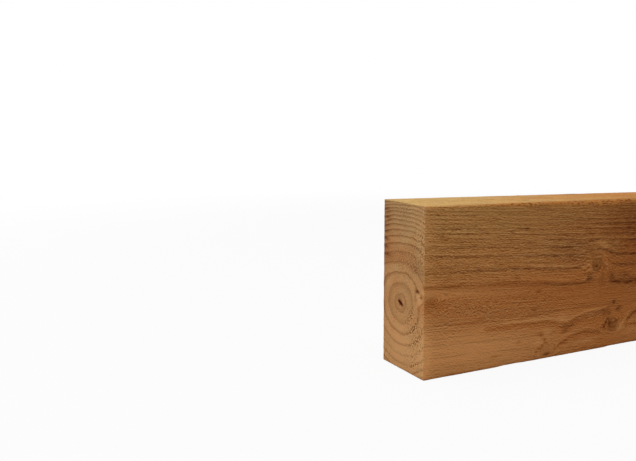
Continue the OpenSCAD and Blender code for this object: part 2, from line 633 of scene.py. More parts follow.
class TimberSettings(bpy.types.PropertyGroup):
    """All settings of the beam and its stage."""

    sizes: bpy.props.PointerProperty(type=BeamSizes)
    colours: bpy.props.PointerProperty(type=BeamColours)
    stage: bpy.props.PointerProperty(type=StageSettings)


# Points along each flat of the section, front, top, back and underside, and inside each rounded arris
FLAT_POINTS = (150, 46, 52, 36)
ARRIS_POINTS = 4
# Loops along the beam, and over the near and the far end
STATIONS = 278
END_LOOPS = 30
FAR_LOOPS = 10
# Spacing of the stations along the shown length, beyond it, near a knot and at the ends
SHOWN_SPACING, HIDDEN_SPACING, KNOT_SPACING, END_SPACING = 2.5, 15.0, 4.5, 0.5
CHECK_CLOSING = (1, 0.85, 0.6, 0.35, 0.15, 0.05, 0.012)
# Painted shade on the end at the lips of the check and one loop further out: how dark it is there
LIP_SHADE = (0.95, 0.4)


def stations():
    """Places along the beam. They lie close where the near end and the knots need them.

    The spacing is read as a density, added up along the length and cut into equal shares.
    """
    step = 0.5
    u = np.arange(0, LENGTH + step, step)
    spacing = np.where(u < SHOWN_LENGTH, SHOWN_SPACING, HIDDEN_SPACING)
    for knot in KNOTS:
        near = np.abs(u - knot.tip[0]) < 4 * knot.radius
        spacing = np.where(near, np.minimum(spacing, KNOT_SPACING), spacing)
    from_end = np.minimum(u, LENGTH - u)
    spacing = np.minimum(spacing, END_SPACING + 0.5 * from_end)
    shares = np.concatenate([[0], np.cumsum(1 / spacing[:-1])])
    return np.interp(np.linspace(0, shares[-1], STATIONS), shares, u)


def section_loops(radii):
    """The section at each station, as points and outward normals in y and z.

    It runs up the front, over the top, down the back and along the underside. Each flat is a straight line
    between two arrises, and each arris is an arc of that station's radius.
    """
    corners = np.array([[FRONT, 0], [FRONT, DEPTH], [BACK, DEPTH], [BACK, 0]])
    ways = np.array([[0, 1], [1, 0], [0, -1], [-1, 0]])
    points, normals = [], []
    for side, count in enumerate(FLAT_POINTS):
        after = (side + 1) % 4
        start = corners[side] + radii[:, side, None] * ways[side]
        stop = corners[after] - radii[:, after, None] * ways[side]
        share = np.linspace(0, 1, count)[:, None]
        points.append(start[:, None] + share * (stop - start)[:, None])
        out = np.array([-ways[side][1], ways[side][0]])
        normals.append(np.broadcast_to(out, points[-1].shape))
        turn = np.pi / 2 * np.arange(1, ARRIS_POINTS + 1)[:, None] / (ARRIS_POINTS + 1)
        arc = np.cos(turn) * out + np.sin(turn) * ways[side]
        centre = stop - radii[:, after, None] * out
        points.append(centre[:, None] + radii[:, after, None, None] * arc)
        normals.append(np.broadcast_to(arc, points[-1].shape))
    return np.concatenate(points, axis=1), np.concatenate(normals, axis=1)


def arris_wear(points):
    """How worn each point of the long sides is, from 0 to 1: most at the top front arris, and raggedly edged.

    Wear falls off with the distance from the arris. On the top front arris it gets stronger and reaches
    further in over the first 190 mm from the near end.
    """
    u, across = points[..., 0], points[..., 1:]
    ragged = layered_noise(points / (9, 2.5, 2.5), WEAR_SEED)
    wear = np.zeros(u.shape)
    for corner in ([FRONT, 0], [FRONT, DEPTH], [BACK, DEPTH], [BACK, 0]):
        worst = corner == [FRONT, DEPTH]
        away = np.linalg.norm(across - corner, axis=-1) + 2.0 * ragged
        reach = 2.5 + 3.0 * smooth_step(u, 40, 190) if worst else 2.5
        most = 0.3 + 0.7 * smooth_step(u, 10, 90) if worst else 0.35
        wear = np.maximum(wear, most * (1 - smooth_step(away / reach, 0.5, 1.3)))
    return wear


def face_relief(points, wood, depth):
    """How far the sawn face lies below its plane.

    Streaks along the grain, torn pits, the saw's ripples and a slow swell are added up. Knots stand higher.
    """
    streaks = layered_noise(wood.grain / (60, 2.6, 2.6), STREAK_SEED)
    pits = np.clip(layered_noise(wood.grain / (6, 2.0, 2.0), PIT_SEED) - 0.05, 0, None) * wood.tear
    ripple = np.sin(2 * np.pi * (points[..., 0] + 0.12 * points[..., 2]) / 6.5)
    swell = layered_noise(points / (170, 50, 50), SWELL_SEED)
    relief = 0.4 + 0.08 * streaks + 0.6 * pits + 0.05 * ripple + 0.25 * swell - 0.25 * wood.knot
    return depth * np.clip(relief, 0.05, 2.2)


def end_relief(points, wood, depth):
    """How far the end grain lies below its plane.

    The soft part of each ring is lower than its latewood, and torn pits are deepest.
    """
    phase = wood.ring % 1
    pits = np.clip(layered_noise(points / (9, 1.7, 1.7), END_PIT_SEED), 0, None) * wood.tear
    rough = layered_noise(points / (9, 3.2, 3.2), END_ROUGH_SEED)
    relief = 0.35 + 0.15 * rough + 0.2 * (1 - smooth_step(phase, 0.5, 0.95)) + 1.1 * pits
    return depth * np.clip(relief, 0.05, 2.0)


def check_loop(sizes, angles, scale_along, scale_across):
    """Outline of the heart check, a lens about the pith.

    It is its half length times a cosine along the check, and its half opening times a squared sine across it.
    """
    slope = sizes.check_slope
    along = np.array([math.cos(slope), math.sin(slope)])
    across = np.array([-math.sin(slope), math.cos(slope)])
    turn = angles - slope
    length = scale_along * sizes.check_length / MM / 2
    opening = scale_across * sizes.check_opening / MM / 2
    return (
        pith_line(0.0)
        + length * np.cos(turn)[:, None] * along
        + opening * (np.sin(turn) * np.abs(np.sin(turn)))[:, None] * across
    )


class BeamGrid(NamedTuple):
    """The beam's surface as closed loops, from the root of the check to the middle of the far end."""

    points: np.ndarray
    wood: Wood
    shares: dict
    first_side: int
    last_side: int
    places: np.ndarray
    normals: np.ndarray


def placed(u, loops):
    """Loops of y and z, with their place along the beam put before them."""
    along = np.broadcast_to(u, loops.shape[:-1])[..., None]
    return np.concatenate([along, loops], axis=-1)


def beam_grid(sizes):
    """Works out the grid of loops.

    The loops start at the root of the heart check, come out along its lips, spread over the near end to its
    edge, run along the beam as its sawn section, and close over the far end.
    """
    u = stations()
    noise = np.stack([line_noise(u, 16, ARRIS_SEED + corner) for corner in range(4)], axis=-1)
    chips = np.stack([line_noise(u, 45, CHIP_SEED + corner) for corner in range(4)], axis=-1)
    base = np.array([sizes.sawn_arris, sizes.worn_arris, sizes.sawn_arris, sizes.sawn_arris]) / MM
    radii = base * (1 + 0.45 * noise + 1.1 * smooth_step(chips, 0.25, 0.7))
    radii[:, 1] *= 1 + 0.9 * smooth_step(u, 40, 200)
    loops, normals = section_loops(np.clip(radii, 0.3, None))
    sides = placed(u[:, None], loops)
    wood = grow(sides)
    relief = sizes.relief / MM
    depth = face_relief(sides, wood, relief)
    end_break = sizes.end_arris / MM
    from_end = np.minimum(u, LENGTH - u)[:, None]
    breakage = end_break * np.clip(1 - from_end / (3 * end_break), 0, 1) ** 2
    depth = depth + breakage * (1.1 + 0.8 * layered_noise(sides / (2, 3, 3), BREAK_SEED))
    sides[..., 1:] -= normals * depth[..., None]

    heart = pith_line(0.0)
    edge = sides[0, :, 1:]
    angles = np.arctan2(edge[:, 1] - heart[1], edge[:, 0] - heart[0])
    lips = check_loop(sizes, angles, 1, 1)
    share = np.linspace(0, 1, END_LOOPS + 1)[:-1, None, None]
    share = share * (1 - 0.35 * (1 - share))
    share = np.concatenate([share, np.array([0.985, 0.995])[:, None, None]])
    near = placed(0.0, lips + share * (edge - lips))

    deep = sizes.check_depth / MM
    check = np.array(
        [
            placed(
                deep * closed,
                check_loop(sizes, angles, math.sqrt(1 - 0.95 * closed**2), 1 - 0.9 * closed),
            )
            for closed in CHECK_CLOSING
        ]
    )

    far_heart = pith_line(LENGTH)
    share = 1 - np.array([0.005, 0.015, *np.linspace(0.06, 0.97, FAR_LOOPS)])[:, None, None]
    far = placed(LENGTH, far_heart + share * (sides[-1, :, 1:] - far_heart))

    near_wood = grow(near)
    far_wood = grow(far)
    near[..., 0] += end_relief(near, near_wood, relief)
    far[..., 0] -= end_relief(far, far_wood, relief)
    sides[0, :, 0] += end_relief(sides[0], grow(sides[0]), relief)
    sides[-1, :, 0] -= end_relief(sides[-1], grow(sides[-1]), relief)

    points = np.concatenate([check, near, sides, far])
    parts = [grow(check), near_wood, wood, far_wood]
    wood = Wood(*(np.concatenate(values) for values in zip(*parts)))
    first_side = len(check) + len(near)
    last_side = first_side + len(sides) - 1
    shares = face_shares(points, normals, slice(first_side, last_side + 1), len(check))
    return BeamGrid(points, wood, shares, first_side, last_side, u, normals)


def face_shares(points, normals, sides, check_rows):
    """How much each point is end grain, worn arris, paler top and painted check shade, from 0 to 1."""
    shares = {name: np.zeros(points.shape[:2]) for name in FACE_VALUES}
    shares["end_grain"][:] = 1
    shares["end_grain"][sides] = 0
    shares["end_grain"][[sides.start, sides.stop - 1]] = 0.5
    shares["worn"][sides] = arris_wear(points[sides])
    u = points[sides][..., 0]
    # Upward faces are paler, by a share that swings slowly along the beam
    paleness_along = 0.75 - 0.35 * np.sin(2 * np.pi * (u - 90) / 700)
    shares["top_paleness"][sides] = smooth_step(normals[..., 1], 0.5, 1.0) * paleness_along
    # Painted shade: full inside the check, and less on its lips
    shares["check_shade"][:check_rows] = 1
    for loop, lip_shade_level in enumerate(LIP_SHADE):
        shares["check_shade"][check_rows + loop] = lip_shade_level
    return shares


def grid_map(grid):
    """Flat map of the grid's faces, as two corner rows for each row of faces.

    The long sides are unrolled, with one step for each station, so the map is as fine as the mesh. The two
    ends are laid beside them as they are seen.
    """
    rows, around = grid.points.shape[:2]
    side_width, margin = 0.85, 0.006
    wrapped = np.concatenate([grid.points, grid.points[:, :1]], axis=1)
    seen = (wrapped[..., 1:] - [FRONT, 0]) / [WIDTH, DEPTH]
    end_width, end_height = 1 - side_width - 3 * margin, 0.44
    corner = [side_width + 2 * margin, margin]
    near = seen * [end_width, end_height] + corner
    far = near + [0, 0.5]
    unrolled = np.empty((rows, around + 1, 2))
    step = (np.arange(rows) - grid.first_side) / (grid.last_side - grid.first_side)
    unrolled[..., 0] = (margin + (side_width - margin) * step)[:, None]
    unrolled[..., 1] = np.linspace(margin, 1 - margin, around + 1)
    face_rows = np.arange(rows - 1)
    lower, upper = unrolled[:-1].copy(), unrolled[1:].copy()
    on_near = face_rows < grid.first_side
    on_far = face_rows >= grid.last_side
    lower[on_near], upper[on_near] = near[:-1][on_near], near[1:][on_near]
    lower[on_far], upper[on_far] = far[:-1][on_far], far[1:][on_far]
    return lower, upper


def new_mesh(name, places, quads, triangles, flat):
    """A smooth mesh from places in millimetres, faces of four and three corners, and their flat map."""
    places = places * MM
    places[:, 0] += LOW[0] * MM
    corners = np.concatenate([quads.ravel(), triangles.ravel()])
    starts = np.concatenate([np.arange(len(quads)) * 4, len(quads) * 4 + np.arange(len(triangles)) * 3])
    mesh = bpy.data.meshes.new(name)
    mesh.vertices.add(len(places))
    mesh.vertices.foreach_set("co", places.astype(np.float32).ravel())
    mesh.loops.add(len(corners))
    mesh.loops.foreach_set("vertex_index", corners.astype(np.int32))
    mesh.polygons.add(len(starts))
    mesh.polygons.foreach_set("loop_start", starts.astype(np.int32))
    mesh.update(calc_edges=True)
    if mesh.validate():
        raise ValueError(f"{name} has faces that can't be kept")
    mesh.polygons.foreach_set("use_smooth", np.ones(len(starts), bool))
    mesh.uv_layers.new(name="OFBake").data.foreach_set("uv", flat.astype(np.float32).ravel())
    return mesh


def grid_mesh(name, grid):
    """The mesh of the grid: a four-sided face between neighbouring points, and a fan at each closed end."""
    rows, around = grid.points.shape[:2]
    index = np.arange(rows * around).reshape(rows, around)
    index = np.concatenate([index, index[:, :1]], axis=1)
    quads = np.stack([index[:-1, :-1], index[1:, :-1], index[1:, 1:], index[:-1, 1:]], axis=-1)
    first, last = rows * around, rows * around + 1
    near_fan = np.stack([np.full(around, first), index[0, :-1], index[0, 1:]], axis=-1)
    far_fan = np.stack([index[-1, :-1], np.full(around, last), index[-1, 1:]], axis=-1)

    lower, upper = grid_map(grid)
    flat = np.stack([lower[:, :-1], upper[:, :-1], upper[:, 1:], lower[:, 1:]], axis=2)
    near_map, far_map = (
        np.stack([side.mean(0) * np.ones((around, 1)), side[:-1], side[1:]], axis=1)
        for side in (lower[0], upper[-1])
    )
    flat = np.concatenate([part.reshape(-1, 2) for part in (flat, near_map, far_map[:, [1, 0, 2]])])
    triangles = np.concatenate([near_fan, far_fan])
    return new_mesh(name, with_poles(grid.points), quads.reshape(-1, 4), triangles, flat)


def write_wood(mesh, wood, shares):
    """Stores the wood's values on the mesh, for its material to read."""
    values = {name: getattr(wood, name) for name in GROWN_VALUES}
    for name, value in (values | shares).items():
        made = mesh.attributes.new(name, "FLOAT", "POINT")
        made.data.foreach_set("value", value.astype(np.float32).ravel())
    made = mesh.attributes.new("grain", "FLOAT_VECTOR", "POINT")
    made.data.foreach_set("vector", wood.grain.astype(np.float32).ravel())


def with_poles(values):
    """A grid of values as one list, with those of the two closing points at its end."""
    listed = values.reshape(-1, *values.shape[2:])
    return np.concatenate([listed, values[0].mean(0)[None], values[-1].mean(0)[None]])


# Three-sided sections between the two points of a torn fibre
FIBRE_SECTIONS = 4
# Places tried for each fibre that is kept, and the share of them on the shown length
FIBRE_TRIES = 12
FIBRES_SHOWN = 0.45
# A fibre starts at least this far from the ends, and all of it lies this far inside the beam's box
FIBRE_MARGIN = 2
FIBRE_INSET = 0.03


def surface_at(grid, u, column):
    """Points and outward normals of the long sides, blended in straight lines between the grid's points."""
    sides = grid.points[grid.first_side : grid.last_side + 1]
    row = np.interp(u, grid.places, np.arange(len(grid.places)))
    before = np.clip(np.floor(row).astype(int), 0, len(sides) - 2)
    left = np.floor(column).astype(int)
    along, over = (row - before)[..., None], (column - left)[..., None]
    around = sides.shape[1]
    left, right = left % around, (left + 1) % around
    near = sides[before, left] * (1 - over) + sides[before, right] * over
    far = sides[before + 1, left] * (1 - over) + sides[before + 1, right] * over
    normal = np.zeros((*u.shape, 3))
    normal[..., 1:] = grid.normals[before, left]
    return near * (1 - along) + far * along, normal


def fibre_roots(grid, sizes):
    """Places of the torn fibres, as u and column. The most torn of a random scatter are kept."""
    draw = np.random.default_rng(FIBRE_PLACE_SEED)
    tries = FIBRE_TRIES * sizes.fibre_count
    u = np.where(
        draw.random(tries) < FIBRES_SHOWN,
        draw.uniform(FIBRE_MARGIN, SHOWN_LENGTH, tries),
        draw.uniform(FIBRE_MARGIN, LENGTH - FIBRE_MARGIN, tries),
    )
    column = draw.uniform(0, grid.points.shape[1], tries)
    points, _ = surface_at(grid, u, column)
    wood = grow(points)
    score = wood.tear - 0.8 * wood.knot + 0.5 * draw.random(tries)
    kept = np.argsort(-score)[: sizes.fibre_count]
    return u[kept], column[kept]


def fibre_points(grid, sizes):
    """Works out the torn fibres, each a row of three-sided sections between two points.

    A fibre runs along the grain, rises from below the surface towards its free end, and its width is a sine
    of the way along it. It stays inside the beam's box.
    """
    u, column = fibre_roots(grid, sizes)
    draw = np.random.default_rng(FIBRE_SHAPE_SEED)
    count = len(u)
    part = np.linspace(0, 1, FIBRE_SECTIONS + 2)
    length = sizes.fibre_length / MM * draw.uniform(0.4, 1.7, (count, 1))
    width = sizes.fibre_width / MM * draw.uniform(0.5, 1.3, (count, 1))
    way = draw.choice([-1.0, 1.0], (count, 1))
    drift = draw.normal(0, 0.5, (count, 1))
    rise = draw.uniform(0.1, 0.45, (count, 1))
    spine, normal = surface_at(
        grid,
        np.clip(u[:, None] + way * length * part, 0.5, LENGTH - 0.5),
        column[:, None] + drift * part**2,
    )
    spine = spine + normal * (rise * part**1.5 - 0.15)[..., None]
    across = np.cross(normal, way[..., None] * np.array([1.0, 0, 0]))
    half = (width * np.sin(np.pi * part) / 2)[..., None]
    corners = np.stack([spine + across * half, spine + normal * half, spine - across * half], axis=2)
    lowest = np.array([0, FRONT, 0]) + FIBRE_INSET
    highest = np.array([LENGTH, BACK, DEPTH]) - FIBRE_INSET
    return np.clip(corners, lowest, highest)


def fibre_mesh(name, corners):
    """The mesh of the fibres. Each one is closed by a point at both ends."""
    count = len(corners)
    inner = corners[:, 1:-1].reshape(count, -1, 3)
    tips = corners[:, [0, -1]].mean(axis=2)
    places = np.concatenate([inner, tips], axis=1)
    size = places.shape[1]
    ring = np.arange(size - 2).reshape(-1, 3)
    after = np.roll(ring, -1, axis=1)
    quads = np.stack([ring[:-1], after[:-1], after[1:], ring[1:]], axis=-1).reshape(-1, 4)
    first, last = np.full(3, size - 2), np.full(3, size - 1)
    triangles = np.concatenate(
        [np.stack([first, after[0], ring[0]], axis=-1), np.stack([last, ring[-1], after[-1]], axis=-1)]
    )
    offset = (np.arange(count) * size)[:, None, None]
    side = math.ceil(math.sqrt(count))
    cell = np.stack(np.divmod(np.arange(count), side), axis=-1)[:, None, None] / side
    spread = np.array([[0.1, 0.1], [0.9, 0.1], [0.9, 0.9], [0.1, 0.9]]) / side
    flat = np.concatenate(
        [
            np.broadcast_to(cell + spread, (count, len(quads), 4, 2)).reshape(-1, 2),
            np.broadcast_to(cell + spread[:3], (count, len(triangles), 3, 2)).reshape(-1, 2),
        ]
    )
    quads = (quads + offset).reshape(-1, 4)
    triangles = (triangles + offset).reshape(-1, 3)
    return new_mesh(name, places.reshape(-1, 3), quads, triangles, flat), places.reshape(-1, 3)


def place(tree, kind, feeds=None, **settings):
    """Adds a node. A feed is a socket to link or a value to set, by the input's name or number."""
    node = tree.nodes.new(kind)
    for name, value in settings.items():
        setattr(node, name, value)
    for socket, source in (feeds or {}).items():
        if isinstance(source, bpy.types.NodeSocket):
            tree.links.new(source, node.inputs[socket])
        else:
            node.inputs[socket].default_value = source
    return node


def maths(tree, operation, *values, clamp=False):
    """One step of arithmetic on sockets or numbers."""
    return place(
        tree, "ShaderNodeMath", dict(enumerate(values)), operation=operation, use_clamp=clamp
    ).outputs[0]


def ramp(tree, value, low, high, first=0.0, last=1.0):
    """A smooth step of a value from first, at low, to last, at high."""
    feeds = {0: value, 1: low, 2: high, 3: first, 4: last}
    return place(tree, "ShaderNodeMapRange", feeds, interpolation_type="SMOOTHSTEP").outputs[0]


def blend(tree, share, base, over, mode="MIX"):
    """Lays one colour over another by a share."""
    node = place(tree, "ShaderNodeMix", {0: share, 6: base, 7: over}, data_type="RGBA", blend_type=mode)
    return node.outputs[2]


def shade(tree, colour, factor):
    """Makes a colour lighter or darker by a factor."""
    node = place(tree, "ShaderNodeVectorMath", {0: colour, "Scale": factor}, operation="SCALE")
    return node.outputs[0]


def attribute(tree, name, output="Fac"):
    """Reads a value that the mesh stores."""
    return place(tree, "ShaderNodeAttribute", attribute_name=name).outputs[output]


def new_group(name, inputs, outputs):
    """An empty node group with named sockets, and its input and output nodes."""
    group = bpy.data.node_groups.new(name, "ShaderNodeTree")
    for label, kind in inputs:
        group.interface.new_socket(label, in_out="INPUT", socket_type=kind)
    for label, kind in outputs:
        group.interface.new_socket(label, in_out="OUTPUT", socket_type=kind)
    entry = group.nodes.new("NodeGroupInput")
    leave = group.nodes.new("NodeGroupOutput")
    return group, entry.outputs, leave.inputs


def use_group(tree, group, feeds):
    """Places a node group in a tree and feeds its inputs."""
    return place(tree, "ShaderNodeGroup", feeds, node_tree=group).outputs


VALUE, COLOUR, VECTOR = "NodeSocketFloat", "NodeSocketColor", "NodeSocketVector"


def streak_group():
    """Noise drawn out along the grain, from 0 to 1, by its length and width in millimetres."""
    group, given, made = new_group(
        "Grain streaks",
        [("Grain", VECTOR), ("Length", VALUE), ("Width", VALUE), ("Shift", VALUE), ("Detail", VALUE)],
        [("Streak", VALUE)],
    )
    size = place(group, "ShaderNodeCombineXYZ", {0: given["Length"], 1: given["Width"], 2: given["Width"]})
    drawn = place(group, "ShaderNodeVectorMath", {0: given["Grain"], 1: size.outputs[0]}, operation="DIVIDE")
    moved = place(group, "ShaderNodeVectorMath", {0: drawn.outputs[0], 1: given["Shift"]}, operation="ADD")
    noise = place(
        group,
        "ShaderNodeTexNoise",
        {"Vector": moved.outputs[0], "Scale": 1.0, "Detail": given["Detail"], "Roughness": 0.6},
    )
    group.links.new(noise.outputs[0], made["Streak"])
    return group


def relief_group(streaks):
    """Fibres lit from above, about -1 to 1: the streaks a little higher less the streaks a little lower."""
    group, given, made = new_group(
        "Raised fibres",
        [("Grain", VECTOR), ("Length", VALUE), ("Width", VALUE), ("Shift", VALUE)],
        [("Relief", VALUE)],
    )
    sides = []
    for share in (0.75, -0.75):
        step = place(group, "ShaderNodeCombineXYZ", {2: maths(group, "MULTIPLY", given["Width"], share)})
        feeds = {0: given["Grain"], 1: step.outputs[0]}
        moved = place(group, "ShaderNodeVectorMath", feeds, operation="ADD").outputs[0]
        feeds = {name: given[name] for name in ("Length", "Width", "Shift")}
        sides.append(use_group(group, streaks, {"Grain": moved, "Detail": 0.0} | feeds)["Streak"])
    group.links.new(maths(group, "SUBTRACT", *sides), made["Relief"])
    return group


def ring_group():
    """Growth rings from a ring number: the dark latewood, its sharp edge, the pale new wood and a tint.

    The latewood keeps about the same width in millimetres, so its share of a ring follows from the rings to a
    millimetre, which rise in a straight line with the ring number outside the core.
    """
    group, given, made = new_group(
        "Growth rings",
        [("Ring", VALUE)],
        [("Latewood", VALUE), ("Edge", VALUE), ("New wood", VALUE), ("Tint", VALUE)],
    )
    ring = given["Ring"]
    phase = maths(group, "FRACT", ring)
    outside = maths(group, "MAXIMUM", maths(group, "SUBTRACT", ring, RINGS_IN_CORE * CORE_RADIUS), 0.0)
    closeness = maths(group, "MULTIPLY_ADD", outside, RINGS_CLOSING, RINGS_IN_CORE)
    share = maths(group, "MULTIPLY_ADD", closeness, LATEWOOD_WIDTH, ramp(group, ring, 0.0, 4.0, 0.25, 0.0))
    share = maths(group, "MINIMUM", share, 0.5)

    def before_end(widths):
        """The phase that lies so many widths of latewood before the ring's end."""
        return maths(group, "MULTIPLY_ADD", share, -widths, 1.0)

    rise = ramp(group, phase, before_end(1.6), before_end(0.3))
    drop = ramp(group, phase, before_end(0.22), 1.0, 1.0, 0.0)
    group.links.new(maths(group, "MULTIPLY", rise, drop), made["Latewood"])
    sharp = ramp(group, phase, before_end(0.8), before_end(0.35))
    clear = maths(group, "MULTIPLY", drop, ramp(group, ring, 1.0, 4.0, 0.2, 1.0))
    group.links.new(maths(group, "MULTIPLY", sharp, clear), made["Edge"])
    group.links.new(ramp(group, phase, 0.0, share, 1.0, 0.0), made["New wood"])
    number = maths(group, "FLOOR", ring)
    tint = place(group, "ShaderNodeTexWhiteNoise", {"W": number}, noise_dimensions="1D")
    group.links.new(tint.outputs["Value"], made["Tint"])
    return group


WOOD_COLOURS = tuple(BeamColours.__annotations__)
WOOD_VALUES = GROWN_VALUES + FACE_VALUES


def timber_group(streaks, rings, relief):
    """Colour and relief of the wood from the values that a piece stores.

    Rings give the first colour, and streaks along the grain shade it. Knots, resin and painted shade, torn
    fibres with their painted highlights and shade, ring edges, the worn arris and the painted shade of the
    heart check are laid over that in turn.
    """
    group, given, made = new_group(
        "Sawn timber",
        [("grain", VECTOR)]
        + [(f"{name} value", VALUE) for name in WOOD_VALUES]
        + [(f"{name} colour", COLOUR) for name in WOOD_COLOURS],
        [("Colour", COLOUR), ("Height", VALUE), ("Tear", VALUE)],
    )

    def streak(length, width, shift, detail=3.0):
        """Streaks along the grain, from 0 to 1."""
        feeds = {"Grain": given["grain"], "Length": length, "Width": width, "Shift": shift, "Detail": detail}
        return use_group(group, streaks, feeds)["Streak"]

    def fibres(length, width, shift):
        """Painted light and shade of raised fibres lit from above, about -1 to 1."""
        feeds = {"Grain": given["grain"], "Length": length, "Width": width, "Shift": shift}
        return use_group(group, relief, feeds)["Relief"]

    def scaled(value, amount, middle=0.0):
        """An amount times a value's distance from its middle."""
        return maths(group, "MULTIPLY", maths(group, "SUBTRACT", value, middle), amount)

    def linear(value, slope, start):
        """A straight line: slope times the value, plus start."""
        return maths(group, "MULTIPLY_ADD", value, slope, start)

    def times(*values):
        """All values multiplied."""
        return functools.reduce(functools.partial(maths, group, "MULTIPLY"), values)

    def sum_of(*values):
        """All values added."""
        return functools.reduce(functools.partial(maths, group, "ADD"), values)

    def tint(name):
        """A colour of the wood."""
        return given[f"{name} colour"]

    def value(name):
        """A value that the piece stores."""
        return given[f"{name} value"]

    end, tear, knot = value("end_grain"), value("tear"), value("knot")
    side = maths(group, "SUBTRACT", 1.0, end)
    waver = scaled(streak(150, 13, 3), 0.5, 0.5)
    ring = maths(group, "ADD", value("ring"), waver)
    ring_values = use_group(group, rings, {"Ring": maths(group, "MAXIMUM", ring, 0.0)})
    late, new = ring_values["Latewood"], ring_values["New wood"]
    bold = times(late, linear(ring_values["Tint"], 0.9, 0.55))
    # Upward faces are paler, in colours of their own
    early_wood = blend(group, value("top_paleness"), tint("heart_early"), tint("top_early"))
    late_wood = blend(group, value("top_paleness"), tint("heart_late"), tint("top_late"))
    early_wood = blend(group, times(end, 0.65), early_wood, tint("end"))
    colour = blend(group, times(bold, 0.12), early_wood, late_wood)

    broad, middling = streak(420, 15, 7), streak(90, 3.2, 11)
    ripped = ramp(group, tear, 0.65, 0.95)
    combed = maths(group, "SUBTRACT", 1.0, ripped)
    drawn = sum_of(
        scaled(fibres(60, 0.7, 17), 0.5),
        scaled(fibres(9, 0.7, 15), 0.4),
        scaled(fibres(1.8, 0.7, 13), 0.9),
    )
    # Painted light and shade of the raised fibres, on the sides only
    fibre_light = times(sum_of(times(drawn, combed), times(fibres(1.4, 0.9, 18), ripped)), side)
    rough = linear(tear, 0.2, 0.8)
    rough = times(rough, linear(value("top_paleness"), -0.35, 1.0))
    uneven = sum_of(
        scaled(broad, 0.35, 0.5),
        scaled(middling, 0.15, 0.5),
        times(scaled(ring_values["Tint"], 0.2, 0.5), end),
        times(scaled(streak(30, 1.2, 27, 1.0), 1.6, 0.5), end),
    )
    calm = linear(value("top_paleness"), -0.75, 1.0)
    colour = shade(group, colour, linear(uneven, calm, 1.0))
    colour = blend(group, value("warm"), colour, tint("warm"), "MULTIPLY")
    rough = times(rough, linear(knot, -0.7, 1.0))

    knot_wood = blend(group, times(late, 0.6), tint("knot"), tint("resin_and_shade"))
    mottled = shade(group, knot_wood, linear(streak(2.5, 2.5, 23), 0.8, 0.6))
    colour = blend(group, times(knot, 0.5), colour, mottled)
    rim = times(knot, maths(group, "SUBTRACT", 1.0, knot), 0.7)
    colour = blend(group, rim, colour, tint("resin_and_shade"))

    stain_and_shade = value("stain_and_shade")
    frayed = ramp(group, streak(6, 1.3, 37, 1.0), 0.35, 0.62, 0.55, 1.1)
    patchy = times(sum_of(0.3, times(middling, 0.6), times(late, 0.3)), frayed)
    solid = ramp(group, stain_and_shade, 1.2, 2.4, 0.0, 0.5)
    # Resin stains and the painted shade of the stain list darken the wood
    soaked_and_shaded = maths(group, "MULTIPLY_ADD", stain_and_shade, patchy, solid, clamp=True)
    colour = blend(group, soaked_and_shaded, colour, tint("resin_and_shade"))
    pale = maths(group, "MULTIPLY", stain_and_shade, -0.8, clamp=True)
    fleck = blend(group, end, tint("fibre"), shade(group, tint("end"), 1.3))
    colour = blend(group, pale, colour, blend(group, times(end, 0.4), tint("pale"), fleck))
    colour = blend(group, times(bold, end, 0.32), colour, tint("heart_late"))
    colour = blend(group, times(new, end, ramp(group, ring, 6.0, 12.0), 0.2), colour, fleck)

    rough = times(rough, linear(pale, -0.6, 1.0))
    # Painted highlight where the fibres face the light from above, and painted shade where they face away
    for over, amount in (("fibre", 0.7), ("resin_and_shade", -1.5)):
        lit = maths(group, "MULTIPLY", fibre_light, scaled(rough, amount), clamp=True)
        colour = blend(group, lit, colour, tint(over))
    # Dashes of torn grain. On the sides they follow the fibre light: the pale dashes are painted highlights
    # and the dark ones painted shade. On the end they are pale and dark beads of torn rings.
    dash = sum_of(fibre_light, times(scaled(streak(30, 1.7, 29, 1.0), 3.4, 0.5), end))
    loose = sum_of(0.5, times(late, 0.8), times(new, 0.4))
    torn = times(tear, sum_of(times(side, linear(ripped, -0.2, 0.5)), times(end, loose)))
    for over, way in (("fibre", 1), ("resin_and_shade", -1)):
        dashed = times(ramp(group, dash, way * 0.15, way * 0.3), torn)
        colour = blend(group, dashed, colour, tint(over))
    broken = ramp(group, streak(22, 2.5, 19), 0.4, 0.56)
    line = times(ring_values["Edge"], broken, linear(value("top_paleness"), -0.8, 1.0))
    fading = ramp(group, streak(60, 15, 41, 1.0), 0.38, 0.6, 0.25, 1.0)
    line_depth = sum_of(
        times(side, linear(tear, 0.18, 0.07)),
        times(end, fading, maths(group, "MULTIPLY_ADD", stain_and_shade, 0.5, 0.13, clamp=True)),
    )
    colour = blend(group, times(line, line_depth), colour, tint("resin_and_shade"))
    # Pale new wood just outside each ring edge where the sides are torn: the wood's paler earlywood and a
    # painted highlight of the fibres lifted there
    colour = blend(group, times(new, broken, tear, side, 0.22), colour, tint("fibre"))

    chipped = streak(4, 1.5, 39, 1.0)
    rubbed = times(value("worn"), ramp(group, chipped, 0.42, 0.54, 0.3, 0.95))
    colour = blend(group, rubbed, colour, tint("worn"))
    nicked = times(value("worn"), ramp(group, chipped, 0.47, 0.38), 0.85)
    colour = blend(group, nicked, colour, tint("resin_and_shade"))
    # Painted shade inside the heart check and on its lips
    colour = blend(group, value("check_shade"), colour, tint("check"))
    group.links.new(colour, made["Colour"])

    height = sum_of(
        times(scaled(streak(40, 1.4, 21, 1.0), 1.0, 0.5), linear(tear, 0.8, 0.3)),
        times(line, side, -0.35),
    )
    group.links.new(height, made["Height"])
    group.links.new(tear, made["Tear"])
    return group


def timber_groups():
    """The node groups that both wood materials share, made once."""
    made = bpy.data.node_groups.get("Sawn timber")
    if made is None:
        streaks = streak_group()
        made = timber_group(streaks, ring_group(), relief_group(streaks))
    return made


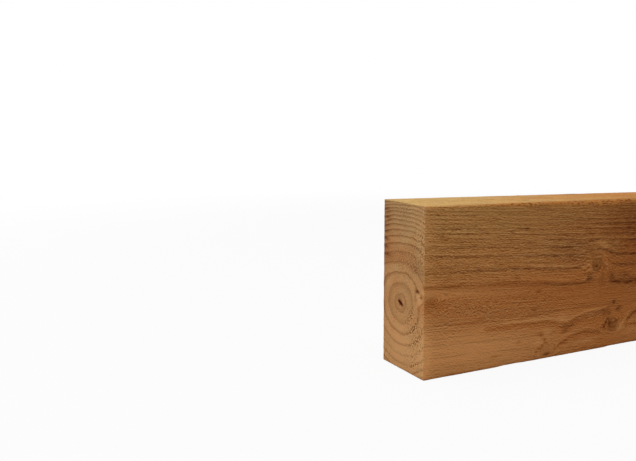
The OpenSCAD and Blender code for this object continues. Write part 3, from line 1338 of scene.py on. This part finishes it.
def timber_material(name, colours, lifted):
    """Dry sawn wood: the timber group's colour, a dull surface and a bump.

    Lifted wood is paler, as loose fibres are, and has less of the bump.
    """
    material = bpy.data.materials.new(name)
    material.use_nodes = True
    tree = material.node_tree
    tree.nodes.clear()
    feeds = {"grain": attribute(tree, "grain", "Vector")}
    feeds |= {f"{value} value": attribute(tree, value) for value in WOOD_VALUES}
    feeds |= {f"{label} colour": (*getattr(colours, label), 1) for label in WOOD_COLOURS}
    wood = use_group(tree, timber_groups(), feeds)
    colour = blend(tree, lifted, wood["Colour"], (*colours.fibre, 1))
    roughness = ramp(tree, wood["Tear"], 0.0, 1.0, 0.8, 0.95)
    bump = place(tree, "ShaderNodeBump", {"Height": wood["Height"], "Strength": 1.0 - lifted, "Distance": MM})
    surface = place(
        tree,
        "ShaderNodeBsdfPrincipled",
        {
            "Base Color": colour,
            "Roughness": roughness,
            "Normal": bump.outputs[0],
            "Specular IOR Level": 0.03,
        },
    )
    place(tree, "ShaderNodeOutputMaterial", {"Surface": surface.outputs[0]})
    return material


def add_piece(mesh):
    """Puts a finished mesh into the scene as a piece of the beam."""
    piece = bpy.data.objects.new(mesh.name, mesh)
    bpy.context.scene.collection.objects.link(piece)
    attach(piece, BODY)
    return piece


class TIMBER_OT_beam(bpy.types.Operator):
    """Model the sawn beam and give it its wood"""

    bl_idname = "timber.beam"
    bl_label = "Sawn beam"

    def execute(self, context):
        settings = context.scene.timber
        grid = beam_grid(settings.sizes)
        mesh = grid_mesh("sawn_beam", grid)
        wood = Wood(*(with_poles(values) for values in grid.wood))
        write_wood(mesh, wood, {name: with_poles(share) for name, share in grid.shares.items()})
        mesh.materials.append(timber_material("sawn_timber", settings.colours, 0.0))
        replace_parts(add_piece(mesh), NODE)
        return {"FINISHED"}


class TIMBER_OT_fibres(bpy.types.Operator):
    """Model the torn fibres that stand up from the sawn faces"""

    bl_idname = "timber.fibres"
    bl_label = "Torn fibres"

    def execute(self, context):
        settings = context.scene.timber
        mesh, places = fibre_mesh("torn_fibres", fibre_points(beam_grid(settings.sizes), settings.sizes))
        shares = {name: np.zeros(len(places)) for name in FACE_VALUES}
        write_wood(mesh, grow(places)._replace(tear=np.zeros(len(places))), shares)
        mesh.materials.append(timber_material("torn_fibres", settings.colours, 0.35))
        add_piece(mesh)
        return {"FINISHED"}


# The photograph's width, in pixels
FRAME_WIDTH = 636
# The camera, from the near end's lower front corner, in millimetres and degrees
CAMERA_PLACE = (-319.1, -552.6, 208.2)
CAMERA_TURN, CAMERA_DIP, CAMERA_ROLL = 36.15, 6.9, 1.52
# Its focal length and sideways shift, in the photograph's pixels
CAMERA_FOCUS = 768.8
CAMERA_SHIFT = 189.3
# The floor's half width, and the distances over which the camera sees it turn white, in metres
FLOOR_REACH = 30.0
FLOOR_FADE = (1.0, 2.2)
# The lamp's place, what it points at, and its length and width, in metres
LAMP_PLACE, LAMP_AIM = (-1.15, 0.05, 1.75), (-0.75, 0, 0.1)
LAMP_LENGTH, LAMP_WIDTH = 2.4, 2.0


def add_camera():
    """The camera at the photograph's place, turned from the beam's cross direction, dipped and rolled."""
    data = bpy.data.cameras.new("camera")
    data.sensor_width = 36
    data.lens = CAMERA_FOCUS / FRAME_WIDTH * data.sensor_width
    data.shift_x = -CAMERA_SHIFT / FRAME_WIDTH
    data.clip_start = 0.01
    camera = bpy.data.objects.new("camera", data)
    bpy.context.scene.collection.objects.link(camera)
    turn, dip = math.radians(CAMERA_TURN), math.radians(CAMERA_DIP)
    ahead = Vector((math.sin(turn) * math.cos(dip), math.cos(turn) * math.cos(dip), -math.sin(dip)))
    level = Vector((math.cos(turn), -math.sin(turn), 0))
    rolled = Matrix.Rotation(math.radians(-CAMERA_ROLL), 3, ahead) @ level
    above = rolled.cross(ahead)
    turned = Matrix((rolled, above, -ahead)).transposed().to_4x4()
    corner = Vector((LOW[0], FRONT, 0)) * MM
    camera.matrix_world = Matrix.Translation(corner + Vector(CAMERA_PLACE) * MM) @ turned
    bpy.context.scene.camera = camera


def add_floor(glow):
    """A wide pale floor. The camera sees it mostly as plain white, with the beam's soft shadow left on it."""
    corners = [(x * FLOOR_REACH, y * FLOOR_REACH, 0) for x, y in ((-1, -1), (1, -1), (1, 1), (-1, 1))]
    mesh = bpy.data.meshes.new("floor")
    mesh.from_pydata(corners, [], [(0, 1, 2, 3)])
    floor = bpy.data.objects.new("floor", mesh)
    bpy.context.scene.collection.objects.link(floor)
    material = bpy.data.materials.new("pale_floor")
    material.use_nodes = True
    tree = material.node_tree
    tree.nodes.clear()
    pale = place(tree, "ShaderNodeBsdfDiffuse", {"Color": (0.75, 0.75, 0.75, 1)})
    white = place(tree, "ShaderNodeEmission", {"Color": (1, 1, 1, 1), "Strength": 1.0})
    spot = place(tree, "ShaderNodeTexCoord").outputs["Object"]
    away = place(tree, "ShaderNodeVectorMath", {0: spot}, operation="LENGTH").outputs["Value"]
    share = maths(tree, "MULTIPLY", seen_ray(tree), ramp(tree, away, *FLOOR_FADE, glow, 1.0))
    mixed = place(tree, "ShaderNodeMixShader", {0: share, 1: pale.outputs[0], 2: white.outputs[0]})
    place(tree, "ShaderNodeOutputMaterial", {"Surface": mixed.outputs[0]})
    mesh.materials.append(material)


def seen_ray(tree):
    """1 on rays from the camera, also after a mirror or glass, and 0 on those that carry light."""
    path = place(tree, "ShaderNodeLightPath").outputs
    glossy = maths(tree, "MAXIMUM", path["Is Camera Ray"], path["Is Glossy Ray"])
    return maths(tree, "MAXIMUM", glossy, path["Is Transmission Ray"])


def add_sky(strength):
    """Even light from all round, which the camera sees as plain white."""
    world = bpy.data.worlds.new("sky")
    bpy.context.scene.world = world
    world.use_nodes = True
    tree = world.node_tree
    tree.nodes.clear()
    level = maths(tree, "MULTIPLY_ADD", seen_ray(tree), 1 - strength, strength)
    sky = place(tree, "ShaderNodeBackground", {"Color": (1, 1, 1, 1), "Strength": level})
    place(tree, "ShaderNodeOutputWorld", {"Surface": sky.outputs[0]})


def add_lamp(power):
    """A wide soft lamp over the near end, a little to its outer side."""
    data = bpy.data.lights.new("soft_lamp", "AREA")
    data.energy = power
    data.shape = "RECTANGLE"
    data.size, data.size_y = LAMP_LENGTH, LAMP_WIDTH
    lamp = bpy.data.objects.new("soft_lamp", data)
    bpy.context.scene.collection.objects.link(lamp)
    lamp.location = LAMP_PLACE
    aim = Vector(LAMP_AIM) - lamp.location
    lamp.rotation_euler = aim.to_track_quat("-Z", "Y").to_euler()


class TIMBER_OT_stage(bpy.types.Operator):
    """Set the camera, the floor and the light"""

    bl_idname = "timber.stage"
    bl_label = "Stage"

    def execute(self, context):
        stage = context.scene.timber.stage
        context.scene.view_settings.view_transform = "Standard"
        add_camera()
        add_floor(stage.floor_glow)
        add_sky(stage.sky)
        add_lamp(stage.lamp)
        return {"FINISHED"}


class TIMBER_PT_panel(bpy.types.Panel):
    """Lists the beam's settings and the steps that make it"""

    bl_idname = "TIMBER_PT_panel"
    bl_label = "Timber"
    bl_space_type = "VIEW_3D"
    bl_region_type = "UI"
    bl_category = "Timber"

    def draw(self, context):
        settings = context.scene.timber
        for group in (settings.sizes, settings.colours, settings.stage):
            box = self.layout.box()
            for name in group.__annotations__:
                box.prop(group, name)
        for operator in (TIMBER_OT_stage, TIMBER_OT_beam, TIMBER_OT_fibres):
            self.layout.operator(operator.bl_idname)


CLASSES = (
    BeamSizes,
    BeamColours,
    StageSettings,
    TimberSettings,
    TIMBER_OT_stage,
    TIMBER_OT_beam,
    TIMBER_OT_fibres,
    TIMBER_PT_panel,
)


def register():
    """Makes the classes and the settings known."""
    for made in CLASSES:
        bpy.utils.register_class(made)
    bpy.types.Scene.timber = bpy.props.PointerProperty(type=TimberSettings)


def unregister():
    """Takes them away again, in the other order."""
    del bpy.types.Scene.timber
    for made in reversed(CLASSES):
        bpy.utils.unregister_class(made)


def main():
    """Registers the classes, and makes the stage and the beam."""
    register()
    bpy.ops.timber.stage()
    bpy.ops.timber.beam()
    bpy.ops.timber.fibres()


if __name__ == "__main__":
    main()
